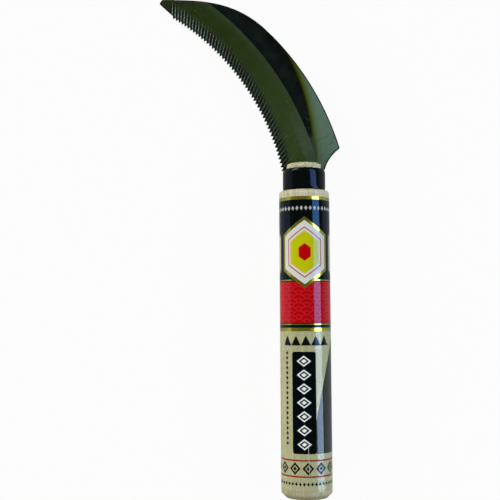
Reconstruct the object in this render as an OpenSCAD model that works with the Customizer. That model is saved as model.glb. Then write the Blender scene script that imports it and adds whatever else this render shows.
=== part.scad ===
// Rope cutting sickle: a saw-toothed, single-bevel steel blade in a turned wooden handle.
// It lies as laid down on a table: the handle along Y with its butt towards -Y, the bevelled face
// of the blade up, and the blade rolled about the handle until its tip touches the table.
// Lengths are in millimetres and angles in degrees.

/* [Handle] */
// Length of the wooden handle, from the butt to the shoulder under the ferrule
handle_len = 150; // [110:1:190]
// Diameter of the wooden handle
handle_d = 25; // [23:0.5:32]
// Chamfer round the butt
butt_chamfer = 2.2; // [0.5:0.1:4]
// Rounding of the shoulder under the ferrule
shoulder_round = 1.2; // [0.4:0.1:2.5]
// Height that the slotted wooden nose stands out of the ferrule
nose_stand = 2.9; // [1:0.1:6]
// Rounding of the end of the wooden nose
nose_round = 0.9; // [0.3:0.1:2]

/* [Ferrule] */
// Outer diameter of the ferrule
ferrule_d = 21.3; // [19:0.1:23]
// Height of the ferrule
ferrule_h = 11; // [7:0.5:18]
// Wall of the ferrule
ferrule_wall = 0.9; // [0.6:0.1:1.2]
// Width of the lip that turns in over the top of the neck
ferrule_lip = 1.1; // [0.6:0.1:1.8]
// Outer rounding between the ferrule's side and its lip
ferrule_top_round = 1.3; // [0.4:0.1:1.6]
// Outer rounding of the ferrule's lower rim
ferrule_rim_round = 0.6; // [0.2:0.1:0.8]

/* [Blade] */
// Thickness of the blade
blade_t = 1.2; // [0.9:0.1:2]
// Radius of the toothed edge's sweep
edge_r = 135; // [110:1:180]
// Length of the toothed edge, measured along its sweep
edge_len = 104; // [84:2:124]
// Angle between the handle and the toothed edge where it leaves the ferrule
edge_lean = 12.8; // [6:0.2:20]
// Distance that the toothed edge starts outside the ferrule's side
edge_start = 0.8; // [0:0.1:2]
// Length of the plain edge between the last tooth and the point
point_len = 9.3; // [5:0.1:14]
// Angle by which the plain edge turns up from the toothed edge
point_turn = 10.8; // [4:0.2:18]
// Width of the blunt point
point_w = 2.7; // [1.8:0.1:5]
// Angle between the plain edge and the blunt point
point_skew = 86; // [70:1:100]
// Rounding of the two corners of the blunt point
point_round = 0.7; // [0.2:0.1:0.8]
// Width of the small bevel that is honed along the plain edge
point_hone_w = 0.8; // [0.4:0.1:1.5]
// Thickness left at the honed edge
hone_edge_t = 0.12; // [0.06:0.01:0.25]
// Distance that the heel's curve starts inside the ferrule's side
heel_start = 0.2; // [0:0.1:0.6]
// Distance of the heel's corner from the handle's axis
heel_out = 18.2; // [15:0.1:24]
// Height of the heel's corner above the ferrule
heel_rise = 10.6; // [7:0.1:16]
// Hollow of the curve between the heel and the ferrule
heel_hollow = 1.1; // [0.3:0.1:2.5]
// Rounding of the heel's corner
heel_round = 0.9; // [0.4:0.1:3]
// Radius of the blade's back above the heel
back_r = 149.5; // [110:0.5:220]
// Length of that part of the back, along its curve
back_len = 72.6; // [50:0.2:85]
// Angle between the handle and the back where it leaves the heel
back_lean = 16.3; // [8:0.2:24]
// Angle between the crosswise direction and the back where it meets the point
back_end_rise = 4; // [0:0.5:12]
// Fullness of the back where it bends over to the point
back_fullness = 0.39; // [0.3:0.01:0.45]

/* [Bevel] */
// Width of the ground bevel half way along the blade
bevel_w = 17.8; // [10:0.2:22]
// Difference in the bevel's width between the heel and the point
bevel_narrowing = 3; // [0:0.2:6]
// Thickness left at the toothed edge
edge_t = 0.38; // [0.32:0.02:0.6]

/* [Saw teeth] */
// Distance from tooth to tooth, half way along the edge
tooth_pitch = 2; // [1.4:0.1:3]
// Share by which the teeth stand closer at the point than at the ferrule
tooth_closing = 0.13; // [0:0.01:0.3]
// Depth of the teeth
tooth_depth = 1.4; // [0.5:0.1:1.6]
// Share of a tooth that its long flank takes, on the side of the point
tooth_long_share = 0.7; // [0.5:0.02:0.85]
// Distance that the cut grooves reach in from the toothed edge
groove_reach = 7.6; // [3:0.2:10]
// Depth of a groove where it leaves the tooth
groove_depth = 0.22; // [0.1:0.01:0.26]
// Slant of the grooves towards the point, from square to the edge
groove_slant = 33; // [15:1:45]
// Share of the tooth pitch that a groove takes up where it leaves the tooth
groove_fill = 0.7; // [0.4:0.02:0.72]
// Share of a groove's width that its steep side takes, on the side of the point
groove_steep_share = 0.34; // [0.15:0.01:0.5]

/* [Tang] */
// Width of the tang where it leaves the blade
tang_w = 13; // [9:0.1:14]
// Width of the tang at its end
tang_end_w = 9; // [5:0.1:12]
// Length of the tang below the blade
tang_len = 42; // [32:1:60]
// Length of the tang that keeps its full width
tang_straight = 8; // [4:0.5:16]

/* [Tang pin] */
// Diameter of the nail that holds the tang
pin_d = 2; // [1.5:0.1:3]
// Distance of the nail below the handle's shoulder
pin_down = 13; // [8:0.5:16]
// Play between the nail and the wood
nail_gap = 0.02; // [0.01:0.01:0.05]
// Depth of the nail's ends below the wood's surface
pin_sink = 0.3; // [0.1:0.1:1]

/* [Label film] */
// Thickness of the printed film round the handle
film_t = 0.13; // [0.1:0.01:0.3]
// Bare wood between the shoulder and the film
film_top_gap = 2; // [1:0.5:6]
// Bare wood between the film and the butt
film_butt_gap = 4; // [3:0.5:8]

/* [Clearances] */
// Play between the neck and the ferrule, and between the tang and its slot
seat_gap = 0.05; // [0.02:0.01:0.1]
// Play between the wood and the film
film_gap = 0.02; // [0.01:0.01:0.05]
// Play between the nail and the tang's hole
pin_gap = 0.05; // [0.02:0.01:0.15]
// Room below the end of the tang
tang_end_room = 1; // [0.5:0.5:3]

/* [Hidden] */
$fn = 96;

// Small overlap that carries a cut past the surface it opens
past = 1;
// The same, where a shallow cut has to stay narrow
sliver = 0.02;
// Reach of the bevel's cut beyond the toothed edge, wide enough for the point
past_edge = 12;
handle_r = handle_d / 2;
film_r = handle_r + film_gap + film_t;
ferrule_r = ferrule_d / 2;
bore_r = ferrule_r - ferrule_wall;
neck_r = bore_r - seat_gap;
lip_r = bore_r - ferrule_lip;
nose_r = lip_r - seat_gap;
neck_top = ferrule_h - ferrule_wall - seat_gap;
nose_top = ferrule_h + nose_stand;
shoulder_fillet = min(shoulder_round, handle_r - ferrule_r);
ferrule_inner_round = max(ferrule_top_round - ferrule_wall, 0.2);
neck_chamfer = ferrule_inner_round + 0.1;
tang_end_y = ferrule_h - tang_len;
tang_chamfer = 1.5;

function polar(c, r, a) = [c[0] + r * cos(a), c[1] + r * sin(a)];
// Points of an arc about centre c, from angle a to angle b in n steps
function arc(c, r, a, b, n) = [for (i = [0:n]) polar(c, r, a + (b - a) * i / n)];
// Points of an arc from p to q that bulges to its left by the height h
function bulge(p, q, h, n) =
    let (chord = norm(q - p), r = (chord * chord / 4 + h * h) / (2 * h),
         dir = atan2(q[1] - p[1], q[0] - p[0]), half = asin(chord / 2 / r),
         c = (p + q) / 2 + (r - h) * [sin(dir), -cos(dir)])
    arc(c, r, dir + 90 + half, dir + 90 - half, n);
// Points of a cubic curve from p to q that leaves and arrives along the given directions
function curve(p, dir_p, q, dir_q, pull, n) =
    let (k = pull * norm(q - p), p1 = polar(p, k, dir_p), q1 = polar(q, -k, dir_q))
    [for (i = [0:n]) let (t = i / n, s = 1 - t)
        s * s * s * p + 3 * s * s * t * p1 + 3 * s * t * t * q1 + t * t * t * q];
// Points of a rounding of radius r at the corner b between a and c
function corner(a, b, c, r, n) =
    let (u = (a - b) / norm(a - b), v = (c - b) / norm(c - b),
         half = acos(u * v) / 2, m = (u + v) / norm(u + v),
         o = b + m * r / sin(half), s = b + u * r / tan(half),
         start = atan2(s[1] - o[1], s[0] - o[0]), side = sign(u[0] * v[1] - u[1] * v[0]),
         sweep = (2 * half - 180) * side)
    arc(o, r, start, start + sweep, n);

// The toothed edge follows a circle that starts beside the ferrule's top
edge_foot = [-ferrule_r - edge_start, ferrule_h];
edge_c = polar(edge_foot, -edge_r, edge_lean);
edge_sweep = edge_len / edge_r * 180 / PI;
edge_end = edge_lean + edge_sweep;
teeth = max(1, round(edge_len / tooth_pitch));
root_r = edge_r + tooth_depth;
// Angle at which the edge has taken up t teeth, counted from the ferrule
function tooth_angle(t) =
    edge_lean + edge_sweep * t / teeth * (1 + tooth_closing / 2 * (1 - t / teeth));
function tooth_root(i) = polar(edge_c, root_r, tooth_angle(i + tooth_long_share));

// The plain edge, the blunt point and the heel
point_dir = edge_end + 90 - point_turn;
point_foot = polar(edge_c, root_r, edge_end);
point_front = polar(point_foot, point_len, point_dir);
point_back = polar(point_front, point_w, point_dir - point_skew);
heel = [heel_out, ferrule_h + heel_rise];
heel_foot = [ferrule_r - heel_start, ferrule_h];

// The back rises from the heel on one radius and then bends over to the point
back_c = polar(heel, -back_r, back_lean);
back_sweep = back_len / back_r * 180 / PI;
back_joint = polar(back_c, back_r, back_lean + back_sweep);
back_dir = back_lean + back_sweep + 90;
heel_curve = bulge(heel_foot, heel, heel_hollow, 8);
back_low = arc(back_c, back_r, back_lean, back_lean + back_sweep, 20);
back_high = curve(back_joint, back_dir, point_back, 180 - back_end_rise, back_fullness, 20);

// The points of a list without its two ends, and the last of them
function inner(list) = [for (i = [1:len(list) - 2]) list[i]];
function last_inner(list) = list[len(list) - 2];
tooth_line = [for (i = [teeth - 1:-1:0]) each [
    tooth_root(i),
    polar(edge_c, edge_r, tooth_angle(i))]];
blade_outline = concat(
    inner(heel_curve),
    corner(last_inner(heel_curve), heel, back_low[1], heel_round, 5),
    inner(back_low),
    inner(back_high),
    corner(last_inner(back_high), point_back, point_front, point_round, 4),
    corner(point_back, point_front, point_foot, point_round, 4),
    [point_foot],
    tooth_line,
    [[-tang_w / 2, ferrule_h],
     [-tang_w / 2, ferrule_h - tang_straight],
     [-tang_end_w / 2, tang_end_y + tang_chamfer],
     [tang_chamfer - tang_end_w / 2, tang_end_y],
     [tang_end_w / 2 - tang_chamfer, tang_end_y],
     [tang_end_w / 2, tang_end_y + tang_chamfer],
     [tang_w / 2, ferrule_h - tang_straight],
     [tang_w / 2, ferrule_h],
     heel_foot]);

// The bevel is a cone about a centre that is shifted along the blade, so it narrows to the point
bevel_r = edge_r + bevel_w;
bevel_shift = bevel_narrowing / (2 * sin(edge_sweep / 2));
bevel_c = polar(edge_c, bevel_shift, edge_lean + edge_sweep / 2 - 90);
bevel_slope = (blade_t - edge_t) / bevel_w;
function bevel_height(p) = min(blade_t, blade_t - bevel_slope * (bevel_r - norm(p - bevel_c)));

// The roll that brings the point down to the table
reach = -min([for (p = blade_outline) p[0]]);
roll = asin(film_r / norm([reach, blade_t / 2])) - atan2(blade_t / 2, reach);
rise_above_axis = bevel_height(point_front) - blade_t / 2;
low_x = -reach * cos(roll) - rise_above_axis * sin(roll);
high_x = max(film_r, max([for (p = blade_outline) p[0]]) * cos(roll) + blade_t / 2 * sin(roll));
high_y = max([for (p = blade_outline) p[1]]);
low_y = -handle_len;

// Puts what is drawn about the handle's axis into the part's own frame
module place() {
    translate([-(low_x + high_x) / 2, -(low_y + high_y) / 2, film_r])
        children();
}

// Rolls what is drawn flat in the blade's plane
module rolled() {
    rotate([0, -roll, 0])
        children();
}

// Turns a profile of [radius, height] points about the handle's axis
module turned(profile) {
    rotate([-90, 0, 0])
        rotate_extrude()
            polygon(profile);
}

// The cone that grinds the bevel, over the whole toothed edge and the point
module bevel_cut() {
    inside = bevel_w + bevel_narrowing + past_edge;
    end_room = 15;
    translate([bevel_c[0], bevel_c[1], 0])
        rotate([0, 0, edge_lean - end_room])
            rotate_extrude(angle = edge_sweep + 2 * end_room, $fn = 360)
                polygon([
                    [bevel_r + past, blade_t + past * bevel_slope],
                    [bevel_r - inside, blade_t - inside * bevel_slope],
                    [bevel_r - inside, blade_t + past],
                    [bevel_r + past, blade_t + past]]);
}

// One slanting groove: a lop-sided V that starts at a tooth's root and runs out on the bevel
module groove(i) {
    root = tooth_root(i);
    dir = atan2(root[1] - edge_c[1], root[0] - edge_c[0]) + groove_slant;
    run = (groove_reach - tooth_depth) / cos(groove_slant);
    lead = (tooth_depth + past / 2) / cos(groove_slant);
    floor_z = bevel_height(root) - groove_depth;
    climb = atan2(bevel_height(polar(root, run, dir)) - floor_z, run);
    top = groove_depth * (run + lead) / run + sliver;
    width = groove_fill * tooth_pitch * cos(groove_slant) * top / groove_depth;
    translate([root[0], root[1], floor_z])
        rotate([0, 0, dir])
            rotate([0, -climb, 0])
                translate([-lead, 0, 0])
                    rotate([90, 0, 90])
                        linear_extrude(lead + run + past)
                            polygon([
                                [0, 0],
                                [groove_steep_share * width, top],
                                [(groove_steep_share - 1) * width, top]]);
}

// The small honed bevel along the plain edge by the point
module hone_cut() {
    inside = bevel_height(point_front) + sliver;
    slope = (inside - hone_edge_t) / point_hone_w;
    translate([point_front[0], point_front[1], 0])
        rotate([0, 0, point_dir - 180])
            translate([-past, 0, 0])
                rotate([90, 0, 90])
                    linear_extrude(point_len + past)
                        polygon([
                            [-past, hone_edge_t - slope * past],
                            [point_hone_w, inside],
                            [point_hone_w, inside + past],
                            [-past, inside + past]]);
}

module blade() {
    color("#3a4426")
        place() rolled() translate([0, 0, -blade_t / 2])
            difference() {
                linear_extrude(blade_t) polygon(blade_outline);
                difference() {
                    bevel_cut();
                    translate([-handle_d, tang_end_y, -past])
                        cube([2 * handle_d, tang_len, blade_t + 3 * past]);
                }
                hone_cut();
                for (i = [0:teeth - 1]) groove(i);
                translate([0, -pin_down, -past])
                    cylinder(r = pin_d / 2 + pin_gap, h = blade_t + 2 * past);
            }
}

module handle() {
    slot_t = blade_t + 2 * seat_gap;
    slot_w = tang_w + 2 * seat_gap;
    color("#d8cba0")
        place() difference() {
            turned(concat(
                [[0, -handle_len],
                 [handle_r - butt_chamfer, -handle_len],
                 [handle_r, butt_chamfer - handle_len]],
                arc([handle_r - shoulder_fillet, -shoulder_fillet], shoulder_fillet, 0, 90, 6),
                [[neck_r, 0],
                 [neck_r, neck_top - neck_chamfer],
                 [neck_r - neck_chamfer, neck_top],
                 [nose_r, neck_top]],
                arc([nose_r - nose_round, nose_top - nose_round], nose_round, 0, 90, 6),
                [[0, nose_top]]));
            rolled() {
                translate([-ferrule_r, 0, -slot_t / 2])
                    cube([ferrule_d, nose_top + past, slot_t]);
                translate([-slot_w / 2, tang_end_y - tang_end_room, -slot_t / 2])
                    cube([slot_w, tang_len, slot_t]);
                translate([0, -pin_down, -handle_r - past])
                    cylinder(r = pin_d / 2 + nail_gap, h = handle_d + 2 * past);
            }
        }
}

module ferrule() {
    color("#15151a")
        place() turned(concat(
            [[bore_r, 0]],
            arc([ferrule_r - ferrule_rim_round, ferrule_rim_round], ferrule_rim_round, -90, 0, 5),
            arc([ferrule_r - ferrule_top_round, ferrule_h - ferrule_top_round],
                ferrule_top_round, 0, 90, 8),
            [[lip_r, ferrule_h],
             [lip_r, ferrule_h - ferrule_wall]],
            arc([bore_r - ferrule_inner_round, ferrule_h - ferrule_wall - ferrule_inner_round],
                ferrule_inner_round, 90, 0, 3)));
}

module tang_pin() {
    pin_len = handle_d - 2 * pin_sink;
    color("#9a9a98")
        place() rolled() translate([0, -pin_down, -pin_len / 2])
            cylinder(d = pin_d, h = pin_len);
}

module label_film() {
    film_len = handle_len - film_top_gap - film_butt_gap;
    color("#1b1b1e")
        place() turned([
            [film_r - film_t, -film_top_gap - film_len],
            [film_r, -film_top_gap - film_len],
            [film_r, -film_top_gap],
            [film_r - film_t, -film_top_gap]]);
}

blade();
handle();
ferrule();
tang_pin();
label_film();
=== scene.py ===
import math

import bmesh
import bpy
from mathutils import Matrix, Vector


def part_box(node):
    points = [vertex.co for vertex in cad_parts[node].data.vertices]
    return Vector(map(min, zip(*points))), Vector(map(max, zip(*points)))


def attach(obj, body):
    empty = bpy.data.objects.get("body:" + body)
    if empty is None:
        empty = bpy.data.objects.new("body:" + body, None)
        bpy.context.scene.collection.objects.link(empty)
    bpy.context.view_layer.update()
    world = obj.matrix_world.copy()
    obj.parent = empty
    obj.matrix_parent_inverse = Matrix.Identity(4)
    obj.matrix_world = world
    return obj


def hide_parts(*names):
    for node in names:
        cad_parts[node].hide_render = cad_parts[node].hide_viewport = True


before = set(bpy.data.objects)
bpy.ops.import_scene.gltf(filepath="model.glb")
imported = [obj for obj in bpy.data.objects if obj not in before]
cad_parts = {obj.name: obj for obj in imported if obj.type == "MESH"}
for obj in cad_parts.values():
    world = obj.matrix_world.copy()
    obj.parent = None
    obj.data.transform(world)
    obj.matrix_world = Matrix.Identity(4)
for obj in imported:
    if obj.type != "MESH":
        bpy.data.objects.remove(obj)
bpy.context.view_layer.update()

MM = 0.001

# Vertices of a mesh that lie closer than this are one
MERGE = 0.002 * MM

# The camera, measured from the handle's axis at the shoulder, and how far it tips and rolls
CAMERA_FROM_SHOULDER = Vector((-27.3, -64.5, 439.7)) * MM
CAMERA_TIP = math.radians(4.6)
CAMERA_ROLL = math.radians(-0.27)
LENS = 63.53
SENSOR = 36.0

# Roll of the blade about the handle, and the circles that its zones follow, in mm on the blade
BLADE_ROLL = math.radians(9.235)
ROLL_COS, ROLL_SIN = math.cos(BLADE_ROLL), math.sin(BLADE_ROLL)
EDGE_CENTRE = (-143.1, -18.91)
EDGE_R = 135.0
GRIND_CENTRE = (-152.5, -28.05)
GRIND_R = 165.0
# The circle where the painted reflection on the flat turns from black to a painted pale sheen
SHEEN_CENTRE = (-124.7, 15.4)
SHEEN_R = 130.4
BACK_CENTRE = (-125.29, -20.36)
BACK_R = 149.5
HEEL_CENTRE = (29.67, 5.07)
HEEL_R = 20.14

# Distances along the handle from the shoulder, in mm, towards the butt
FILM_START = 2.0
GOLD_UPPER = (3.74, 5.34)
BEADS_DOWN = 9.6
SHELLS_MIDDLE = 31.2
WAVES = (45.6, 65.4)
GOLD_LOWER = (67.9, 69.55)
BORDER = (71.6, 76.4)
PANEL_TOP = 73.9
DOTS = (79.0, 124.0)
TABLET = (79.4, 128.0)
CREASE = (123.0, 137.0)
RED_LINES = (131.1, 138.7)
HEM_DOWN = 142.2
FILM_END = 146.0
BUTT_EDGE = (147.0, 149.6)

# Sizes of the print round the handle, in mm
FILM_R = 12.65
ROUND_FILM = 2 * math.pi * FILM_R
SHELL_HALF_H = 17.4
TABLET_HALF_W = 5.95
TABLET_ASIDE = -1.7
LINE_SOFT = 0.04

# The frame of the handle: its axis and its shoulder
ferrule_low, ferrule_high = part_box("ferrule")
AXIS_X = (ferrule_low.x + ferrule_high.x) / 2
AXIS_Z = (ferrule_low.z + ferrule_high.z) / 2
SHOULDER_Y = ferrule_low.y
SHOULDER = Vector((AXIS_X, SHOULDER_Y, AXIS_Z))


def srgb(red, green, blue):
    """A colour as it shows, from 0 to 255, as the linear colour that a shader takes."""
    def linear(part):
        part = part / 255
        return part / 12.92 if part <= 0.04045 else ((part + 0.055) / 1.055) ** 2.4
    return (linear(red), linear(green), linear(blue), 1.0)


# Inks that the print uses more than once
PRINT_RED = srgb(180, 2, 3)
PRINT_GOLD = srgb(150, 146, 20)
PRINT_WHITE = srgb(208, 211, 209)


def maths_of(operation, swapped=False):
    """The method that makes one Math node of a value and what stands beside it."""
    def apply(value, other):
        pair = (other, value) if swapped else (value, other)
        return value.shading.maths(operation, *pair)
    return apply


class Value:
    """A shader socket that adds Math nodes when it is reckoned with."""

    def __init__(self, shading, output):
        self.shading = shading
        self.output = output

    __add__ = maths_of("ADD")
    __radd__ = maths_of("ADD", True)
    __sub__ = maths_of("SUBTRACT")
    __rsub__ = maths_of("SUBTRACT", True)
    __mul__ = maths_of("MULTIPLY")
    __rmul__ = maths_of("MULTIPLY", True)
    __truediv__ = maths_of("DIVIDE")
    __rtruediv__ = maths_of("DIVIDE", True)

    def __abs__(self):
        return self.shading.maths("ABSOLUTE", self)


class Shading:
    """A tree of shader nodes, and the ways to add to it."""

    def __init__(self, tree):
        self.tree = tree

    def node(self, kind, settings=None, inputs=None, output=0):
        made = self.tree.nodes.new(kind)
        for name, value in (settings or {}).items():
            if name == "stops":
                self.set_stops(made.color_ramp, value)
            else:
                setattr(made, name, value)
        for socket, value in (inputs or {}).items():
            self.feed(made.inputs[socket], value)
        return Value(self, made.outputs[output])

    def feed(self, socket, value):
        if isinstance(value, Value):
            self.tree.links.new(value.output, socket)
        else:
            socket.default_value = value

    def set_stops(self, ramp, stops):
        for place, colour in stops[2:]:
            ramp.elements.new(place)
        for element, (place, colour) in zip(ramp.elements, sorted(stops)):
            element.position = place
            element.color = colour

    def maths(self, operation, *values):
        return self.node("ShaderNodeMath", {"operation": operation}, dict(enumerate(values)))

    def larger(self, first, second):
        return self.maths("MAXIMUM", first, second)

    def smooth(self, value, low, high):
        """0 below low, 1 above high and a soft step between them."""
        return self.node(
            "ShaderNodeMapRange", {"interpolation_type": "SMOOTHSTEP"},
            {"Value": value, "From Min": low, "From Max": high})

    def between(self, value, low, high, soft):
        """1 from low to high, with soft sides."""
        return (self.smooth(value, low - soft, low + soft)
                * self.smooth(value, high + soft, high - soft))

    def mix(self, mask, first, second):
        """The first colour where the mask is 0 and the second where it is 1."""
        return self.node(
            "ShaderNodeMix", {"data_type": "RGBA"}, {0: mask, 6: first, 7: second}, output=2)

    def ramp(self, value, stops):
        return self.node("ShaderNodeValToRGB", {"stops": stops}, {0: value})

    def vector(self, x, y, z):
        return self.node("ShaderNodeCombineXYZ", None, {0: x, 1: y, 2: z})

    def parts_of(self, vector):
        """The x, y and z of a vector."""
        split = self.node("ShaderNodeSeparateXYZ", None, {0: vector}).output.node
        return [Value(self, output) for output in split.outputs]

    def noise(self, vector, scale, detail, roughness):
        return self.node(
            "ShaderNodeTexNoise", None,
            {"Vector": vector, "Scale": scale, "Detail": detail, "Roughness": roughness})

    def cells(self, vector, scale):
        return self.node("ShaderNodeTexVoronoi", None, {"Vector": vector, "Scale": scale})

    def length(self, x, y):
        return self.maths("SQRT", x * x + y * y)

    def bump(self, height, distance, strength):
        """A relief that stands a distance in metres where its height is 1."""
        return self.node(
            "ShaderNodeBump", None,
            {"Strength": strength, "Distance": distance, "Height": height})


class Finish(Shading):
    """One surface finish: a material with a Principled shader and what drives it."""

    def __init__(self, name, constants=None):
        self.material = bpy.data.materials.new(name)
        self.material.use_nodes = True
        super().__init__(self.material.node_tree)
        self.surface = self.tree.nodes["Principled BSDF"]
        for socket, value in (constants or {}).items():
            self.surface.inputs[socket].default_value = value

    def show(self, **sockets):
        for socket, value in sockets.items():
            self.feed(self.surface.inputs[socket.replace("_", " ")], value)

    def facing(self):
        """The x, y and z of the way that the surface faces."""
        return self.parts_of(self.node("ShaderNodeNewGeometry", output=1))

    def handle_places(self):
        """Across and up from the handle's axis, and down from its shoulder, in mm."""
        x, y, z = self.parts_of(self.node("ShaderNodeTexCoord", output=3))
        return (x - AXIS_X) / MM, (SHOULDER_Y - y) / MM, (z - AXIS_Z) / MM


# Steel of the blade

class BladePlaces:
    """Where a place on the blade lies, in mm, and which way it faces."""

    def __init__(self, f):
        x, down, z = f.handle_places()
        self.finish = f
        self.u = x * ROLL_COS + z * ROLL_SIN
        self.v = 0 - down
        self.from_edge = self.outside(EDGE_CENTRE, EDGE_R)
        self.from_grind = self.outside(GRIND_CENTRE, GRIND_R)
        self.from_sheen = self.outside(SHEEN_CENTRE, SHEEN_R)
        self.from_back = self.outside(BACK_CENTRE, BACK_R)
        self.from_heel = self.outside(HEEL_CENTRE, HEEL_R)
        swing = f.maths("ARCTAN2", self.v - EDGE_CENTRE[1], self.u - EDGE_CENTRE[0])
        self.along = swing * (180 / math.pi)

        # How far a facet faces up from the blade's plane, and how far it faces the point
        right, ahead, up = f.facing()
        across = right * ROLL_COS + up * ROLL_SIN
        self.upright = abs(up * ROLL_COS - right * ROLL_SIN)
        self.to_point = ahead * f.maths("COSINE", swing) - across * f.maths("SINE", swing)

    def outside(self, centre, radius):
        """How far a place is outside a circle."""
        return self.finish.length(self.u - centre[0], self.v - centre[1]) - radius


def bevel_colour(f, at):
    """Green, paler from the point to the heel and a little greyer by the grind line."""
    near_heel = f.smooth(at.along, 50.0, 12.0)
    tone = f.mix(near_heel, srgb(31, 46, 14), srgb(51, 69, 35))
    by_grind = f.smooth(at.from_grind, -4.0, -0.2) * 0.5
    tone = f.mix(by_grind, tone, srgb(52, 66, 50))
    near_point = f.smooth(at.along, 48.0, 62.0) * 0.65
    return f.mix(near_point, tone, srgb(20, 33, 9))


def flat_painted_reflections(f, at, bevel):
    """Painted reflections on the flat: black by the grind line, then a dull yellow line and a pale
    grey-green sheen.
    """
    # Painted dark reflection by the grind line
    painted_dark_reflection = f.ramp(at.from_grind / 10, [
        (0.0, srgb(12, 22, 20)), (0.35, srgb(20, 28, 31)), (0.75, srgb(15, 21, 20)),
        (1.0, srgb(12, 17, 13))])
    width = 1 + 0.8 * f.smooth(at.v, 45.0, 85.0)
    # Painted reflection: a dull yellow line, then a pale grey-green sheen
    sheen = f.ramp((at.from_sheen / width + 1.4) / 6, [
        (0.0, srgb(12, 17, 13)), (0.1, srgb(22, 26, 5)), (0.26, srgb(78, 87, 22)),
        (0.42, srgb(95, 114, 62)), (0.6, srgb(101, 131, 102)), (0.95, srgb(109, 139, 124))])
    tone = f.mix(f.smooth(at.from_sheen, -1.8, -1.2), painted_dark_reflection, sheen)

    # At its foot the painted black reflection runs out into the bevel's colour, and the painted
    # yellow line into a dull green that is painted shade
    foot = f.smooth(at.v, 29.0, 22.0) * f.smooth(at.from_sheen, 0.5, -1.5)
    tone = f.mix(foot, tone, bevel)
    low = f.smooth(at.v, 32.0, 22.0)
    shade = f.smooth(at.from_sheen, 2.2, 0.2) * (1 - f.smooth(at.from_sheen, 0.0, -1.5) * 0.4)
    return f.mix(low * shade, tone, srgb(64, 85, 62))


def toothed_colour(f, at, tone, cut):
    """The toothed strip: painted shade on the dark lands and wide groove sides, and painted
    highlights on the pale narrow sides that look back.
    """
    cut_slant = 0.276
    before_last = f.smooth(at.along - cut_slant * at.from_edge, 57.4, 56.7)
    strip = f.smooth(at.from_edge, 7.4, 2.8) * before_last
    # Painted shade darkens the whole toothed strip
    tone = f.mix(strip * 0.95, tone, srgb(4, 10, 7))
    # The painted highlights come and go along the strip and grow paler towards the point
    near_point = f.smooth(at.along, 34.0, 54.0)
    highlight_noise = f.noise(f.vector(at.along * 3.0, at.from_edge * 0.8, 9.0), 1.0, 2.0, 0.6)
    highlight_patches = 0.55 + 0.45 * f.smooth(highlight_noise, 0.35, 0.55)
    lit = f.smooth(at.from_edge, 0.6, 2.6) * f.larger(highlight_patches, near_point)
    painted_highlight_side = f.mix(near_point, srgb(82, 99, 88), srgb(132, 150, 138))
    # Cut facets that look back get a painted highlight, and the other cut walls painted shade
    looks_back = f.smooth(at.to_point, -0.12, -0.3) * lit
    return f.mix(cut, tone, f.mix(looks_back, srgb(5, 10, 9), painted_highlight_side))


def stray_scratches(f, at):
    """Long and thin scratches in two directions near the heel."""
    marks = []
    for turn, seed in ((28, 3.0), (-40, 17.0)):
        c, s = math.cos(math.radians(turn)), math.sin(math.radians(turn))
        along = (at.u * c - at.v * s) * 0.16 + seed
        across = (at.u * s + at.v * c) * 3.6
        mark = f.noise(f.vector(along, across, 0.0), 1.0, 1.0, 0.4)
        marks.append(f.smooth(mark, 0.7, 0.75) * 0.5)
    return (marks[0] + marks[1]) * f.smooth(at.v, 62.0, 30.0)


def brushed_sheen(f, at, tone):
    """Soft strokes of polish, paler and darker, across the sheen by the heel."""
    along = (at.u + at.v * 0.65) * 0.22
    across = (at.v - at.u * 0.65) * 1.5
    brushed = f.noise(f.vector(along, across, 4.0), 1.0, 3.0, 0.6)
    by_heel = f.smooth(at.from_sheen, 0.8, 2.5) * f.smooth(at.v, 42.0, 26.0) * 0.45
    tone = f.mix(f.smooth(brushed, 0.54, 0.66) * by_heel, tone, srgb(98, 122, 110))
    return f.mix(f.smooth(brushed, 0.48, 0.36) * by_heel, tone, srgb(50, 72, 68))


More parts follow.
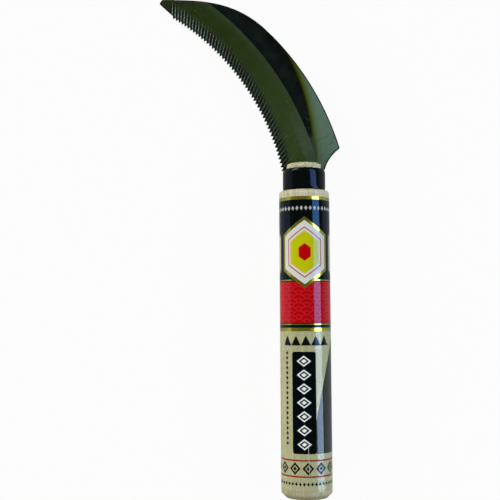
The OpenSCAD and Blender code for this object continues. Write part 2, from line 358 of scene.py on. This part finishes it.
def polished_blade_steel():
    """Dark steel: a satin ground bevel, a glossy flat with painted dark and pale reflections, and
    cut walls with painted shade and highlights.
    """
    f = Finish("polished_blade_steel", {"IOR": 1.5, "Specular IOR Level": 0.1})
    at = BladePlaces(f)
    bevel = bevel_colour(f, at)
    flat = flat_painted_reflections(f, at, bevel)
    greyer = f.smooth(at.v, 48.0, 22.0) * f.smooth(at.from_grind, -6.5, -4.0) * 0.5
    bevel = f.mix(greyer, bevel, srgb(72, 88, 76))
    on_flat = f.smooth(at.from_grind, -0.06, 0.06)
    tone = f.mix(on_flat, bevel, flat)

    # Fine lines that the grinding wheel left across the bevel, and soft clouds in the polish
    lines = f.noise(f.vector(at.along * 9.0, at.from_edge * 0.22, 0.0), 1.0, 3.0, 0.6)
    clouds = f.noise(f.vector(at.u, at.v, 0.0), 0.16, 3.0, 0.55)
    tone = f.mix(f.smooth(clouds, 0.35, 0.75) * 0.1, tone, srgb(62, 78, 54))
    tone = f.mix(f.smooth(lines, 0.45, 0.8) * 0.16, tone, srgb(24, 34, 16))

    cut = f.smooth(at.upright, 0.995, 0.988) * f.smooth(at.from_edge, 9.0, 8.0)
    tone = toothed_colour(f, at, tone, cut)

    # Tiny bruises on the bevel
    spots = f.cells(f.vector(at.u * 0.2, at.v * 0.2, 0.0), 1.0)
    spots = f.smooth(spots, 0.075, 0.035) * (1 - on_flat) * (1 - cut)
    spots = spots * f.smooth(at.from_edge, 7.0, 8.0)
    tone = f.mix(spots * 0.5, tone, srgb(112, 126, 98))

    scratches = stray_scratches(f, at)
    tone = brushed_sheen(f, at, tone)
    tone = f.mix(scratches * 0.5, tone, srgb(150, 165, 150))

    # Painted shade: the back, the heel, the walls of the outline and their eased edges are painted
    # dark
    rim = f.larger(f.smooth(at.from_back, -0.75, -0.4), f.smooth(at.from_heel, 0.7, 0.4))
    tone = f.mix(rim * f.smooth(at.v, 90.0, 60.0) * 0.75, tone, srgb(20, 30, 24))
    toothed = f.smooth(at.from_edge, 9.5, 8.5)
    wall = f.larger(f.smooth(at.upright, 0.8, 0.6),
                    f.smooth(at.upright, 0.985, 0.95) * (1 - toothed))
    tone = f.mix(wall, tone, srgb(12, 20, 16))

    rough = 0.2 + 0.2 * (1 - on_flat) + 0.1 * clouds - 0.06 * lines + 0.3 * f.larger(wall, cut)
    height = lines * 0.6 * (1 - on_flat) + scratches * -0.6 + clouds * 0.3
    f.show(Base_Color=tone, Metallic=0.45 - 0.35 * cut, Roughness=rough,
           Normal=f.bump(height, 0.00004, 0.5))
    return f.material


# Wood of the handle

def pale_turned_wood():
    """Straight-grained pale wood, bare at nose, shoulder and butt, and glossy under the film."""
    f = Finish("pale_turned_wood", {"IOR": 1.5, "Coat Roughness": 0.08, "Coat IOR": 1.8})
    x, down, z = f.handle_places()

    # Growth rings about a heart outside the handle, so that they run nearly straight
    heart_aside, heart_below = 46.0, 31.0
    ring_step = 2.7
    ripple = f.noise(f.vector(x, down * 0.02, z), 0.09, 2.0, 0.5) * 2.4
    from_heart = f.length(x + heart_aside, z + heart_below) + ripple
    ring = f.maths("FRACT", from_heart / ring_step)
    late_wood = f.smooth(ring, 0.35, 0.96) * f.smooth(ring, 1.0, 0.97)

    # Fibres and pores run along the handle
    fibres = f.noise(f.vector(x * 1.5, down * 0.035, z * 1.5), 1.0, 4.0, 0.66)
    pores = f.noise(f.vector(x * 5.5, down * 0.22, z * 5.5), 1.0, 2.0, 0.5)
    pores = f.smooth(pores, 0.62, 0.72)
    patches = f.noise(f.vector(x, down * 0.3, z), 0.12, 2.0, 0.5)
    bands = f.noise(f.vector(x * 0.42, down * 0.008, z * 0.42), 1.0, 2.0, 0.5)

    side = f.mix(late_wood * 0.45, srgb(206, 204, 184), srgb(184, 180, 153))
    side = f.mix(f.smooth(fibres, 0.47, 0.58) * 0.8, side, srgb(166, 160, 128))
    side = f.mix(pores * 0.6, side, srgb(138, 128, 98))
    side = f.mix(f.smooth(patches, 0.4, 0.7) * 0.3, side, srgb(230, 222, 204))
    side = f.mix(f.smooth(bands, 0.45, 0.6) * 0.5, side, srgb(206, 180, 158))
    side = f.mix(f.smooth(bands, 0.46, 0.36) * 0.5, side, srgb(156, 160, 112))

    # The ends: rings in full, open pores and dark specks
    end_pores = f.cells(f.vector(x, down, z), 2.6)
    speckle = f.noise(f.vector(x, down, z), 1.3, 3.0, 0.7)
    end = f.mix(late_wood * 0.4, srgb(222, 222, 184), srgb(182, 178, 136))
    end = f.mix(f.smooth(end_pores, 0.4, 0.22) * 0.75, end, srgb(112, 102, 72))
    end = f.mix(f.smooth(speckle, 0.46, 0.56) * 0.8, end, srgb(150, 144, 106))

    nose = f.smooth(down, -10.5, -11.5)
    on_end = f.larger(f.smooth(abs(f.facing()[1]), 0.35, 0.8), nose * 0.8)
    tone = f.mix(on_end, side, end)

    # Painted shade: the wood just below the film and the edge of the butt are painted a little
    # darker
    below_film = f.smooth(down, 145.6, 146.2)
    tone = f.mix(0.45 * below_film + 0.4 * f.smooth(down, *BUTT_EDGE), tone, srgb(108, 98, 62))

    under_film = f.between(down, GOLD_UPPER[0], FILM_END, 0.1)
    tone = f.mix(under_film * 0.4, tone, srgb(178, 182, 128))

    lathe = f.maths("SINE", down * 9.0) * 0.1 * (1 - on_end)
    height = fibres * 0.5 + pores * -0.8 + lathe + on_end * (speckle * 0.8 - end_pores * 0.3)
    rough = 0.62 + 0.2 * fibres - 0.35 * under_film
    f.show(Base_Color=tone, Roughness=rough, Coat_Weight=under_film,
           Normal=f.bump(height * (1 - under_film * 0.9), 0.00012, 0.6))
    return f.material


# Enamel of the ferrule

def black_ferrule_enamel():
    """Black gloss enamel, with a slight orange peel, dust and thin rub marks on its rims."""
    f = Finish("black_ferrule_enamel", {
        "IOR": 1.5, "Specular IOR Level": 0.16, "Specular Tint": (0.26, 0.42, 1.0, 1.0)})
    x, down, z = f.handle_places()
    place = f.vector(x, down, z)
    peel = f.noise(place, 0.7, 2.0, 0.4)
    rubs = f.noise(f.vector(x * 0.3, down * 3.0, z * 0.3), 1.0, 2.0, 0.6)
    dust = f.smooth(f.cells(place, 0.9), 0.09, 0.05)
    tone = f.mix(f.smooth(rubs, 0.55, 0.8) * 0.5, srgb(7, 11, 10), srgb(22, 26, 26))
    tone = f.mix(dust * 0.35, tone, srgb(70, 74, 74))
    rough = 0.1 + 0.12 * f.smooth(rubs, 0.5, 0.8) + 0.3 * dust
    f.show(Base_Color=tone, Roughness=rough, Normal=f.bump(peel, 0.00006, 0.25))
    return f.material


# Steel of the nail

def drawn_nail_steel():
    """Plain drawn wire, dull, with a trace of brown rust."""
    f = Finish("drawn_nail_steel", {"Metallic": 0.9})
    x, down, z = f.handle_places()
    draw = f.noise(f.vector(x * 6.0, down * 6.0, z * 0.3), 1.0, 3.0, 0.6)
    rust = f.smooth(f.noise(f.vector(x, down, z), 0.8, 4.0, 0.65), 0.52, 0.7)
    tone = f.mix(draw, srgb(128, 128, 126), srgb(168, 168, 164))
    tone = f.mix(rust * 0.7, tone, srgb(112, 74, 48))
    f.show(Base_Color=tone, Roughness=0.34 + 0.3 * rust, Normal=f.bump(draw, 0.00003, 0.5))
    return f.material


# Print on the film

def lozenges(f, across, along, half_w, half_h, pitch):
    """How far a place is from the middle of the nearest lozenge in a row, 1 at its sides."""
    near = f.maths("PINGPONG", across, pitch / 2)
    return near / half_w + abs(along) / half_h


def nested_shells(f, arc, down, ground):
    """Tall hexagons side by side: a gold rim, white, a red line, yellow and a red core."""
    half_pitch = ROUND_FILM / 3 / 2
    across = f.maths("PINGPONG", arc + 0.8, half_pitch)
    along = abs(down - SHELLS_MIDDLE)
    size = f.larger(across / 12.0, across / 24.0 + along / SHELL_HALF_H)
    soft = 0.006
    rim_inside = 0.9
    colours = ground
    for reach, colour in ((1.0, PRINT_GOLD), (rim_inside, PRINT_WHITE),
                          (0.72, PRINT_RED), (0.685, PRINT_WHITE),
                          (0.61, srgb(188, 190, 6)), (0.25, PRINT_RED)):
        colours = f.mix(f.smooth(size, reach + soft, reach - soft), colours, colour)
    shell = f.smooth(size, 1 + soft, 1 - soft)
    return colours, shell, shell * f.smooth(size, rim_inside - soft, rim_inside + soft)


def wave_scales(f, arc, down, ground):
    """Overlapping wave scales, row over row, in pale lines on red."""
    scale_r = ROUND_FILM / 20
    row_high = scale_r / 2
    rows_down = (down - WAVES[0]) / row_high
    first_row = f.maths("FLOOR", rows_down)
    colours = PRINT_RED
    for ahead in range(3):
        row = first_row + ahead
        shift = f.maths("FLOORED_MODULO", row, 2.0) * scale_r
        across = f.maths("PINGPONG", arc + shift, scale_r)
        from_middle = f.length(across, (rows_down - row) * row_high) / scale_r
        line = f.between(f.maths("FRACT", from_middle * 2), 0.86, 0.97, 0.05)
        inside = f.smooth(from_middle, 1.01, 0.99)
        colours = f.mix(inside, colours, f.mix(line, PRINT_RED, srgb(176, 48, 56)))
    return f.mix(f.between(down, *WAVES, 0.03), ground, colours)


def black_tablet(f, arc, down):
    """Where the tablet with round corners is, and its column of pale nested lozenges on black."""
    corner = 1.1
    half_h = (TABLET[1] - TABLET[0]) / 2
    across = arc - TABLET_ASIDE
    along = down - (TABLET[0] + half_h)
    out_across = f.larger(abs(across) - (TABLET_HALF_W - corner), 0.0)
    out_along = f.larger(abs(along) - (half_h - corner), 0.0)
    tablet = f.smooth(f.length(out_across, out_along) - corner, 0.04, -0.04)
    size = lozenges(f, along, across, 2.75, 3.7, 6.6)
    ring = f.larger(f.between(size, 0.68, 0.96, 0.04), f.smooth(size, 0.4, 0.32))
    column = f.smooth(abs(along), 23.4, 23.2)
    return tablet, f.mix(ring * column, srgb(5, 9, 9), srgb(226, 236, 234))


def dark_panel(f, arc, down):
    """A dark panel from the tablet's right side round the back, under a sweeping edge."""
    right = TABLET_ASIDE + TABLET_HALF_W
    level_from = 16.5

    # The edge is level at the back and drops ever faster towards the tablet
    rest = f.larger(level_from - arc, 0.0)
    below_edge = down - PANEL_TOP - 1.6 * rest - 0.13 * rest * rest
    return (f.smooth(below_edge, -0.25, 0.25) * f.smooth(arc, right - 0.05, right + 0.05)
            * f.smooth(down, TABLET[1] + 0.05, TABLET[1] - 0.05))


def black_ink(f, arc, down):
    """Triangles under the gold, a column of dots, lozenges between red lines and a beaded hem."""
    fold = ROUND_FILM / 32
    slope = f.maths("PINGPONG", arc + 0.6, fold) / fold
    triangles = f.smooth((down - BORDER[0]) / (BORDER[1] - BORDER[0]) - slope, -0.03, 0.03)
    border = triangles * f.between(down, *BORDER, LINE_SOFT) * f.smooth(abs(arc), 12.6, 12.5)
    between_lines = down - (RED_LINES[0] + RED_LINES[1]) / 2
    diamonds = lozenges(f, arc, between_lines, 2.9, 3.1, ROUND_FILM / 12)
    diamonds = f.smooth(diamonds, 1.0, 0.95) * (1 - f.between(diamonds, 0.34, 0.56, 0.04))
    dots = lozenges(f, down - 80.0, arc + 10.9, 0.95, 0.85, 2.4)
    dots = f.smooth(dots, 1.15, 0.95) * f.between(down, *DOTS, 0.1)
    hem = f.smooth(lozenges(f, arc, down - HEM_DOWN, 0.75, 0.95, ROUND_FILM / 40), 1.1, 0.9)
    return f.larger(f.larger(border, diamonds), f.larger(dots, hem))


def printed_clear_film():
    """Glossy clear film with its print: gold bands, a black field, a black tablet and red lines."""
    f = Finish("printed_clear_film", {
        "IOR": 1.5, "Specular IOR Level": 0.31, "Specular Tint": (0.12, 0.43, 1.0, 1.0),
        "Coat Roughness": 0.04, "Coat IOR": 1.6})
    x, down, z = f.handle_places()
    turn = f.maths("ARCTAN2", x, z)
    arc = turn * FILM_R

    # The black field between the gold bands, with its beads, its hexagons and the red waves
    field = f.between(down, GOLD_UPPER[1], GOLD_LOWER[0], LINE_SOFT)
    gold = f.between(down, *GOLD_UPPER, LINE_SOFT) + f.between(down, *GOLD_LOWER, LINE_SOFT)
    thin_gold = sum(f.between(down, edge - 0.28, edge + 0.28, LINE_SOFT)
                    for edge in (WAVES[0] - 0.8, WAVES[1] + 0.8))
    bead = lozenges(f, arc, down - BEADS_DOWN, 0.8, 1.15, ROUND_FILM / 36)
    art = f.mix(f.smooth(bead, 1.05, 0.95), srgb(7, 10, 6), srgb(176, 180, 176))
    art = f.mix(thin_gold, wave_scales(f, arc, down, art), PRINT_GOLD)
    art, shell, rim = nested_shells(f, arc, down, art)
    thin_gold = thin_gold * (1 - shell)

    tablet, column = black_tablet(f, arc, down)
    panel = dark_panel(f, arc, down)
    ink = black_ink(f, arc, down)
    red = sum(f.between(down, place - 0.38, place + 0.38, LINE_SOFT) for place in RED_LINES)

    bare_film = srgb(196, 199, 158)
    tone = f.mix(field, bare_film, art)
    tone = f.mix(ink, tone, srgb(16, 18, 12))
    panel_tone = f.mix(f.smooth(arc, 7.0, 10.5), srgb(58, 54, 42), srgb(40, 50, 34))
    tone = f.mix(panel, tone, panel_tone)
    tone = f.mix(tablet, tone, column)
    tone = f.mix(red, tone, srgb(146, 44, 40))
    tone = f.mix(gold, tone, srgb(160, 154, 24))

    # Wear: small scuffs, a thin crease near the butt and a film that isn't quite even
    wobble = f.noise(f.vector(arc * 0.5, down * 0.06, 0.0), 1.0, 3.0, 0.5)
    scuffs = f.smooth(f.noise(f.vector(arc * 2.0, down * 0.7, 5.0), 1.0, 4.0, 0.7), 0.66, 0.8)
    from_crease = abs(arc - 0.2 - 0.03 * (down - 126.0))
    crease = f.smooth(from_crease, 0.22, 0.08) * f.between(down, *CREASE, 2.0)
    tone = f.mix(scuffs * 0.25, tone, srgb(190, 190, 180))
    tone = f.mix(crease * 0.6, tone, srgb(205, 208, 200))

    # The print hides the wood and the bare film shows it
    solid = f.larger(field, f.larger(gold, tablet))
    solid = f.larger(solid, panel * 0.72)
    solid = f.larger(solid, f.larger(red * 0.92, ink * 0.96))
    solid = f.larger(solid, crease * 0.6)
    seam = f.between(turn, math.pi - 0.12, math.pi + 0.01, 0.01)
    printed = f.smooth(down, GOLD_UPPER[0] - 0.1, GOLD_UPPER[0])
    alpha = 0.06 + 0.22 * printed + 0.72 * solid + 0.1 * scuffs + 0.1 * seam
    all_gold = f.larger(gold, field * f.larger(rim, thin_gold))
    f.show(Base_Color=tone, Metallic=all_gold * 0.8,
           Alpha=f.maths("MINIMUM", alpha, 1.0),
           Coat_Weight=all_gold + 0.45 * panel * (1 - tablet),
           Roughness=0.07 + 0.16 * all_gold + 0.2 * scuffs,
           Normal=f.bump(wobble, 0.0002, 0.3))
    return f.material


# Pieces

def object_of(name, shape, finish):
    """Makes an object of a bmesh and gives it its finish."""
    mesh = bpy.data.meshes.new(name)
    shape.to_mesh(mesh)
    shape.free()
    mesh.materials.append(finish)
    made = bpy.data.objects.new(name, mesh)
    bpy.context.scene.collection.objects.link(made)
    return made


def piece_of(name, shape, finish, node):
    """Makes a piece that rides on the tool and stands for a solid of it."""
    piece = object_of(name, shape, finish)
    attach(piece, "root")
    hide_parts(node)
    return piece


def sickle_blade():
    """The blade as it is built, its back and heel eased and its ground lines kept crisp."""
    ease = 0.42
    top_of_ferrule = 11.5
    toothed_strip = 9
    shape = bmesh.new()
    shape.from_mesh(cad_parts["blade"].data)
    bmesh.ops.remove_doubles(shape, verts=shape.verts, dist=MERGE)
    bmesh.ops.dissolve_limit(
        shape, angle_limit=math.radians(0.02), verts=shape.verts, edges=shape.edges)
    sideways = Vector((ROLL_COS, 0, ROLL_SIN))
    upright = Vector((-ROLL_SIN, 0, ROLL_COS))
    shape.normal_update()

    def on_back(edge):
        """True for an edge between a flat side and the wall of the back, the heel or the point."""
        if len(edge.link_faces) != 2:
            return False
        faced = sorted(abs(face.normal.dot(upright)) for face in edge.link_faces)
        if faced[0] > 0.1 or faced[1] < 0.99:
            return False
        for vert in edge.verts:
            place = (vert.co - SHOULDER) / MM
            u, v = place.dot(sideways), place.y
            from_edge = math.hypot(u - EDGE_CENTRE[0], v - EDGE_CENTRE[1]) - EDGE_R
            if v < top_of_ferrule or from_edge < toothed_strip:
                return False
        return True

    eased = [edge for edge in shape.edges if on_back(edge)]
    bmesh.ops.bevel(
        shape, geom=eased, offset=ease * MM, segments=2, profile=0.5, affect="EDGES", material=-1)
    shape.normal_update()
    for face in shape.faces:
        face.smooth = True
    for edge in shape.edges:
        if len(edge.link_faces) != 2:
            edge.smooth = False
            continue
        flat = min(abs(face.normal.dot(upright)) for face in edge.link_faces) > 0.9
        edge.smooth = edge.calc_face_angle(0.0) < math.radians(1.0 if flat else 24.0)
    piece_of("sickle_blade", shape, polished_blade_steel(), "blade")


def ferrule_ring():
    """The drawn ring: a soft lower rim, a round top and a lip turned in over the wood."""
    outer = (ferrule_high.x - ferrule_low.x) / 2 / MM
    high = (ferrule_high.y - ferrule_low.y) / MM
    wall, lip, chamfer = 0.9, 1.1, 0.4
    quarter_steps = 12
    bore = outer - wall
    profile = [(bore - lip, high - wall), (bore - chamfer, high - wall),
               (bore, high - wall - chamfer), (bore, 0.0)]
    lower_rim = ((outer - 0.7, 2.2), (0.7, 2.2), -90)
    upper_rim = ((outer - 1.0, high - 2.0), (1.0, 2.0), 0)
    for middle, half, first in (lower_rim, upper_rim):
        for step in range(quarter_steps + 1):
            turn = math.radians(first + step * 90 / quarter_steps)
            profile.append((middle[0] + half[0] * math.cos(turn),
                            middle[1] + half[1] * math.sin(turn)))
    profile.append((bore - lip, high))
    shape = bmesh.new()
    verts = [shape.verts.new((AXIS_X + r * MM, SHOULDER_Y + up * MM, AXIS_Z)) for r, up in profile]
    edges = [shape.edges.new((verts[i - 1], verts[i])) for i in range(len(verts))]
    bmesh.ops.spin(
        shape, geom=verts + edges, cent=(AXIS_X, 0, AXIS_Z), axis=(0, 1, 0), angle=2 * math.pi,
        steps=160, use_merge=True)
    bmesh.ops.remove_doubles(shape, verts=shape.verts, dist=MERGE)
    bmesh.ops.recalc_face_normals(shape, faces=shape.faces)
    for face in shape.faces:
        face.smooth = True
    for edge in shape.edges:
        edge.smooth = edge.calc_face_angle(0.0) < math.radians(40)
    piece_of("ferrule_ring", shape, black_ferrule_enamel(), "ferrule")


def label_wrap():
    """The printed film: one thin sheet rolled round the handle, lapped at the back."""
    thick = 0.05
    inner = 12.526
    lap, lap_gap = 4.0, 0.004
    off_wood, waviness = 0.005, 0.004
    arc_half = math.pi * inner + lap / 2
    shape = bmesh.new()
    bmesh.ops.create_grid(shape, x_segments=250, y_segments=90, size=1.0)
    for vert in shape.verts:
        arc, along = vert.co.x * arc_half, (vert.co.y + 1) / 2
        turn = arc / inner
        over = max(0.0, (arc - arc_half + 3 * lap) / (2 * lap))
        lift = min(1.0, over) * (thick + lap_gap)
        ripple = waviness * math.sin(turn * 9 + along * 21) * math.sin(along * 47 + turn * 4)
        radius = inner + off_wood + ripple + lift
        vert.co = Vector((
            AXIS_X + radius * math.sin(turn) * MM,
            SHOULDER_Y - (FILM_END + (FILM_START - FILM_END) * along) * MM,
            AXIS_Z + radius * math.cos(turn) * MM))
    bmesh.ops.recalc_face_normals(shape, faces=shape.faces)
    shape.normal_update()
    first = shape.faces[:][0]
    middle = first.calc_center_median()
    outwards = Vector((middle.x - AXIS_X, 0, middle.z - AXIS_Z))
    if first.normal.dot(outwards) < 0:
        bmesh.ops.reverse_faces(shape, faces=shape.faces)
    for face in shape.faces:
        face.smooth = True
    piece = piece_of("label_wrap", shape, printed_clear_film(), "label_film")
    wall = piece.modifiers.new("film_thickness", "SOLIDIFY")
    wall.thickness = thick * MM
    wall.offset = 1.0


def dress_nodes():
    """Gives the pieces that stay as built their finishes."""
    for name, finish in (("handle", pale_turned_wood()), ("tang_pin", drawn_nail_steel())):
        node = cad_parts[name]
        for slot in node.material_slots:
            slot.material = finish


# Floor, lamps and camera

def pale_floor():
    """A wide white floor that keeps the tool's shadow and shows white in the steel as well."""
    f = Finish("white_floor")
    camera_ray, glossy_ray, clear_ray = [
        f.node("ShaderNodeLightPath", output=kind) for kind in (0, 3, 6)]
    seen = 0.95 * camera_ray + 0.1 * f.larger(glossy_ray, clear_ray)
    matt = f.node("ShaderNodeBsdfDiffuse", None, {"Color": (0.6, 0.6, 0.6, 1.0)})
    glow = f.node("ShaderNodeEmission", None, {"Color": (1.0, 1.0, 1.0, 1.0), "Strength": 1.0})
    shown = f.node("ShaderNodeMixShader", None, {0: seen, 1: matt, 2: glow})
    f.tree.nodes.remove(f.surface)
    f.feed(f.tree.nodes["Material Output"].inputs["Surface"], shown)
    shape = bmesh.new()
    bmesh.ops.create_grid(shape, x_segments=1, y_segments=1, size=12.0)
    object_of("floor", shape, f.material)


def lamp(name, place, size, radiance, colour, matt=True, mirrored=True, turn=0.0):
    """A soft rectangular lamp that looks at the handle, with the brightness of its face."""
    aim = Vector((AXIS_X, -0.04, 0.02))
    data = bpy.data.lights.new(name, "AREA")
    data.shape = "RECTANGLE"
    data.size, data.size_y = size
    data.energy = radiance * math.pi * size[0] * size[1]
    data.color = colour
    light = bpy.data.objects.new(name, data)
    facing = (Vector(place) - aim).to_track_quat("Z", "Y").to_matrix().to_4x4()
    spin = Matrix.Rotation(math.radians(turn), 4, "Z")
    light.matrix_world = Matrix.Translation(place) @ facing @ spin
    light.visible_diffuse = matt
    light.visible_glossy = mirrored
    bpy.context.scene.collection.objects.link(light)


def studio_lamps():
    """Soft lamps on both sides, and a window and a pane behind that only gloss shows."""
    lamp("right", (AXIS_X + 0.9, -0.04, 0.62), (0.7, 0.5), 8.0, (0.84, 0.93, 1.0), mirrored=False)
    lamp("left", (AXIS_X - 0.95, -0.1, 0.42), (0.8, 0.4), 2.2, (1.0, 0.97, 0.9), mirrored=False)
    lamp("window", (AXIS_X + 0.77, -0.04, 0.53), (1.5, 0.46), 8.0, (0.78, 0.9, 1.0), matt=False,
         turn=32.0)
    lamp("strip", (AXIS_X - 1.1, -0.04, 0.25), (1.4, 0.34), 0.75, (1.0, 1.0, 0.8))
    for name, side in (("left_front", -1.0), ("left_back", 1.0)):
        lamp(name, (-0.85, side * 0.85, 0.7), (0.55, 0.75), 6.4, (1.0, 0.95, 0.84))
    lamp("back_pane", (AXIS_X - 0.83, 0.9, 0.4), (0.9, 0.25), 16.0, (1.0, 1.0, 0.5), matt=False)


def dim_room():
    """A room that is pale by the floor, dark overhead, and white where the camera sees it."""
    by_floor, overhead = 0.55, 0.1
    low, high = 0.02, 0.2
    world = bpy.data.worlds.new("room")
    bpy.context.scene.world = world
    world.use_nodes = True
    w = Shading(world.node_tree)
    height = w.parts_of(w.node("ShaderNodeTexCoord"))[2]
    fade = w.node(
        "ShaderNodeMapRange", {"interpolation_type": "SMOOTHSTEP"},
        {"Value": height, "From Min": low, "From Max": high, "To Min": by_floor,
         "To Max": overhead})
    camera_ray = w.node("ShaderNodeLightPath")
    background = w.tree.nodes["Background"]
    w.feed(background.inputs["Color"], (1.0, 1.0, 1.0, 1.0))
    w.feed(background.inputs["Strength"], w.larger(fade, camera_ray))


def camera():
    """A camera at the viewing angle of the photo."""
    data = bpy.data.cameras.new("camera")
    data.lens = LENS
    data.sensor_width = SENSOR
    seen_from = bpy.data.objects.new("camera", data)
    bpy.context.scene.collection.objects.link(seen_from)
    turn = Matrix.Rotation(CAMERA_TIP, 4, "X") @ Matrix.Rotation(CAMERA_ROLL, 4, "Z")
    seen_from.matrix_world = Matrix.Translation(SHOULDER + CAMERA_FROM_SHOULDER) @ turn
    bpy.context.scene.camera = seen_from


camera()
sickle_blade()
ferrule_ring()
label_wrap()
dress_nodes()
pale_floor()
studio_lamps()
dim_room()
bpy.context.scene.view_settings.view_transform = "Standard"
